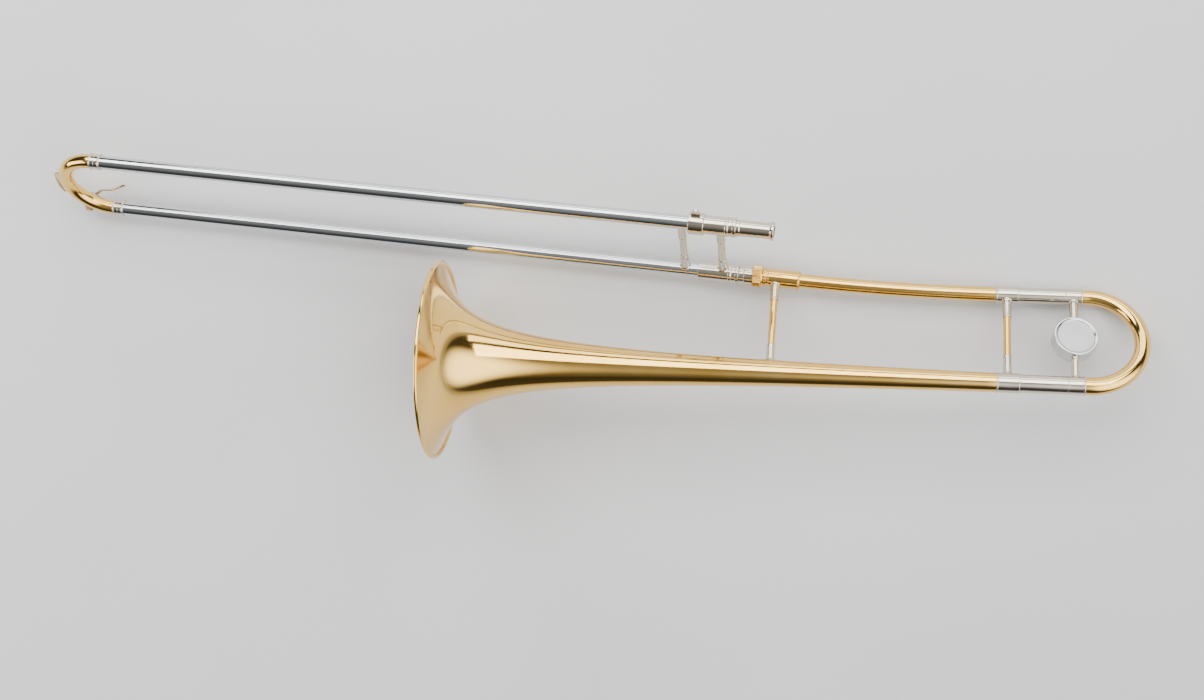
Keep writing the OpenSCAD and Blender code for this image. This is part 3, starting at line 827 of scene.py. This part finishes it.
def strap(name, spine, body, slot, around=24):
    """Bar with a rounded section along a spine of (point, width, thickness) in the key's frame."""
    fine = []
    for i in range(len(spine) - 1):
        before, here = spine[max(i - 1, 0)], spine[i]
        ahead, beyond = spine[i + 1], spine[min(i + 2, len(spine) - 1)]
        for s in range(8):
            t = s / 8
            mix = []
            for j in range(5):
                p0, p1, p2, p3 = (k[j] for k in (before, here, ahead, beyond))
                mix.append(
                    0.5 * (2 * p1 + (p2 - p0) * t + (2 * p0 - 5 * p1 + 4 * p2 - p3) * t * t
                    + (3 * p1 - p0 - 3 * p2 + p3) * t**3)
                )
            fine.append(mix)
    fine.append(list(spine[-1]))
    rings = []
    for i, (x, y, z, wide, thick) in enumerate(fine):
        a, b = fine[max(i - 1, 0)], fine[min(i + 1, len(fine) - 1)]
        ahead = Vector((b[0] - a[0], b[1] - a[1], b[2] - a[2])).normalized()
        flat = Vector((0, 0, 1)) if abs(ahead.z) < 0.9 else Vector((1, 0, 0))
        across = flat.cross(ahead).normalized()
        up = ahead.cross(across)
        ring = []
        for k in range(around):
            turn = 2 * math.pi * k / around
            c, s = math.cos(turn), math.sin(turn)
            offset = across * math.copysign(abs(c) ** 0.7, c) * wide / 2
            offset += up * math.copysign(abs(s) ** 0.8, s) * thick / 2
            ring.append(KEY.at(x + offset.x, y + offset.y, z + offset.z))
        rings.append(ring)
    points, faces = skin(rings, closed=False)
    faces.append(tuple(range(around)))
    faces.append(tuple((len(rings) - 1) * around + k for k in range(around))[::-1])
    return solid(name, points, faces, body, slot)


def make_water_key():
    key, nickel = "water_key", "nickel_silver"
    hinge = KEY.moved(x=PIVOT_X, z=PIVOT_Z).swapped((0, 1, 0), (0, 0, 1))
    cup = [(13.2, 4.2), (13.2, 5.0, 0.3), (16.2, 5.0, 0.9), (17.6, 3.4, 0.9), (17.6, 0, 0)]
    cup += [(15.4, 0, 0), (15.4, 4.2, 0.2)]
    parts = [
        lathe("key_barrel", hinge, tube(-5, 5, 2.2, 1.05), key, nickel, around=48, size=0.35),
        lathe("key_cup", KEY, cup, key, nickel, around=64),
    ]
    tilt = math.radians(ARM_TURN)

    def back(reach, height):
        return PIVOT_X - reach * math.cos(tilt), -reach * math.sin(tilt), PIVOT_Z + height

    spine = [
        (17.4, 0, 0.5, 2.6, 1.6), (18.0, 0, 3.4, 3.0, 1.6), (16.3, 0, 7.4, 3.3, 1.8),
        (12.5, 0, 10.6, 3.4, 2.1), (PIVOT_X, 0, PIVOT_Z + 1.9, 3.4, 2.6),
        (*back(4.5, 4.0), 3.1, 2.0), (*back(9, 5.9), 2.9, 1.7), (*back(15, 4.7), 2.7, 1.6),
        (*back(23, 2.8), 2.7, 1.5), (*back(32, 2.4), 2.9, 1.5), (*back(39, 3.1), 3.3, 1.5),
        (*back(43, 3.8), 4.3, 1.6), (*back(45.6, 4.2), 3.9, 1.5), (*back(ARM_LEN, 4.3), 1.6, 0.8),
    ]
    parts.append(strap("key_lever", spine, key, nickel))
    joined("water_key_lever", parts, "water_key")
    face = [(11.02, 0, 0), (11.02, 4.1, 0.3), (15.3, 4.1, 0.2), (15.3, 0, 0)]
    lathe("key_cork", KEY, face, key, "key_cork", ["key_cork"], around=64)
    make_key_mount(hinge)


def make_key_mount(hinge):
    body, nickel = "outer_slide", "nickel_silver"
    size = (BOW_R, 11.0, 3.5, 2.2, 4.2, body, "lacquered_brass")
    nipple = socket("key_nipple", KEY, (KEY.origin, KEY.y), *size, foot=1.0, around=64)
    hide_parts("key_nipple")
    outline = [(-8, 0, 0), (-8, 1.0, 0.2), (8.15, 1.0), (8.2, 1.9, 0.1), (8.6, 1.9, 0.4)]
    outline += [(9.2, 1.2, 0.5), (9.2, 0, 0)]
    lathe("key_screw", hinge, outline, body, "spring_steel", ["key_screw"], around=48)
    coils = []
    for side in (-1, 1):
        rings = []
        turns, steps = 2.75, 88
        for i in range(steps + 1):
            t = i / steps
            spin = 2 * math.pi * turns * t * side + math.pi
            y = side * (2.6 + 2.0 * t)
            out = Vector((math.cos(spin), math.sin(spin)))
            ring = []
            for k in range(10):
                turn = 2 * math.pi * k / 10
                r = 2.65 + 0.3 * math.cos(turn)
                ring.append(hinge.at(y + 0.3 * math.sin(turn), r * out.x, r * out.y))
            rings.append(ring)
        points, faces = skin(rings, closed=False)
        faces.append(tuple(range(10)))
        faces.append(tuple(steps * 10 + k for k in range(10))[::-1])
        coils.append(solid("spring_coil", points, faces, body, "spring_steel"))
    joined("key_spring_coils", coils, "key_spring")


# ---------------------------------------------------------------- build

make_bell_section()
make_lock_nut()
make_tuning_slide()
make_inner_slide()
make_outer_slide()
make_water_key()

# Small fitted parts keep their CAD shape, with a fine edge and a finish.
SLOT_OF = {s["node"]: s["material_slot"] for s in frame["record"]["subparts"]}
for node, piece in frame["nodes"].items():
    if piece.hide_render:
        continue
    piece.data.materials.clear()
    piece.data.materials.append(LOOKS[SLOT_OF[node]].material)
    for face in piece.data.polygons:
        face.use_smooth = True
    edge = piece.modifiers.new("fine edge", "BEVEL")
    edge.width, edge.segments = 0.00025, 2
    edge.limit_method, edge.angle_limit = "ANGLE", math.radians(40)
    piece.modifiers.new("flat faces stay flat", "WEIGHTED_NORMAL").keep_sharp = True

# ---------------------------------------------------------------- floor, light and camera

LOW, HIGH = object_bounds()


def make_floor():
    mesh = bpy.data.meshes.new("floor")
    size = 9.0
    corners = [(-size, -size, 0), (size, -size, 0), (size, size, 0), (-size, size, 0)]
    mesh.from_pydata(corners, [], [(0, 1, 2, 3)])
    floor = bpy.data.objects.new("floor", mesh)
    floor.location = (0, 0, min(CAD_BOX[0].z, LOW.z))
    bpy.context.scene.collection.objects.link(floor)
    look = Look("floor", Specular_IOR_Level=0.3)
    look.colour(look.ramp(look.noise(2, 3), (0.3, 0.62), (0.7, 0.66)))
    look.rough(look.noise(30), 0.5, 0.62)
    mesh.materials.append(look.material)


def make_world():
    """Studio round the object: dark walls, a grey ceiling and one soft glow to the right."""
    world = bpy.data.worlds.new("studio")
    world.use_nodes = True
    tree = world.node_tree
    where = tree.nodes.new("ShaderNodeTexCoord").outputs["Generated"]
    split = tree.nodes.new("ShaderNodeSeparateXYZ")
    ramp = tree.nodes.new("ShaderNodeValToRGB")
    tree.links.new(where, split.inputs["Vector"])
    tree.links.new(split.outputs["Z"], ramp.inputs["Fac"])
    stops = ((0.0, 0.6), (0.04, 0.5), (0.12, 0.07), (0.55, 0.05), (0.85, 0.22), (1.0, 0.4))
    elements = ramp.color_ramp.elements
    while len(elements) < len(stops):
        elements.new(0.5)
    for element, (position, grey) in zip(elements, stops):
        element.position = position
        element.color = (grey, grey, grey, 1)
    toward = tree.nodes.new("ShaderNodeVectorMath")
    toward.operation = "DOT_PRODUCT"
    toward.inputs[1].default_value = Vector((0.72, -0.12, 0.68)).normalized()
    glow = tree.nodes.new("ShaderNodeMapRange")
    glow.interpolation_type = "SMOOTHERSTEP"
    for socket, value in (("From Min", 0.68), ("From Max", 1.0), ("To Min", 0.0), ("To Max", 3.8)):
        glow.inputs[socket].default_value = value
    both = tree.nodes.new("ShaderNodeVectorMath")
    both.operation = "ADD"
    tree.links.new(where, toward.inputs[0])
    tree.links.new(toward.outputs["Value"], glow.inputs["Value"])
    tree.links.new(ramp.outputs["Color"], both.inputs[0])
    tree.links.new(glow.outputs["Result"], both.inputs[1])
    tree.links.new(both.outputs["Vector"], tree.nodes["Background"].inputs["Color"])
    bpy.context.scene.world = world


def area(name, place, target, size, watts):
    light = bpy.data.lights.new(name, "AREA")
    light.shape = "RECTANGLE"
    light.size, light.size_y = size
    light.energy = watts
    lamp = bpy.data.objects.new(name, light)
    lamp.location = place
    lamp.rotation_mode = "QUATERNION"
    lamp.rotation_quaternion = (Vector(target) - Vector(place)).to_track_quat("-Z", "Y")
    bpy.context.scene.collection.objects.link(lamp)


def make_camera():
    """Above the bell section's plane as in the reference, aimed to centre the whole instrument."""
    raised, distance = math.radians(57.5), 1.9
    back = -BELL.y * math.cos(raised) + BELL.z * math.sin(raised)
    stand = BELL.at(427, 50) + back * distance
    corners = []
    for node in frame["nodes"]:
        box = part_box(node)
        corners += [Vector((box[i].x, box[j].y, box[k].z)) for i, j, k in product((0, 1), repeat=3)]
    look = ((LOW + HIGH) / 2 - stand).normalized()
    for _ in range(4):
        level = Matrix.Rotation(math.radians(-2.3), 3, look) @ BELL.x
        up = level.cross(look).normalized()
        right = look.cross(up)
        seen = [p - stand for p in corners]
        across = [p.dot(right) / p.dot(look) for p in seen]
        rise = [p.dot(up) / p.dot(look) for p in seen]
        look = look + right * (min(across) + max(across)) / 2 + up * (min(rise) + max(rise)) / 2
        look.normalize()
    camera = bpy.data.cameras.new("camera")
    camera.lens = 56
    eye = bpy.data.objects.new("camera", camera)
    eye.location = stand
    eye.rotation_mode = "QUATERNION"
    eye.rotation_quaternion = Matrix((right, up, -look)).transposed().to_quaternion()
    bpy.context.scene.collection.objects.link(eye)
    bpy.context.scene.camera = eye


make_floor()
make_world()
area("behind", (-0.31, 1.71, 2.13), (-0.15, -0.05, 0.05), (4.2, 1.76), 145)
area("low", (-0.07, 2.8, 0.68), (-0.1, 1.6, -0.52), (3.6, 0.95), 43)
area("left", (-2.7, -0.7, 1.32), (-0.3, -0.1, 0.05), (1.35, 1.8), 36)
make_camera()
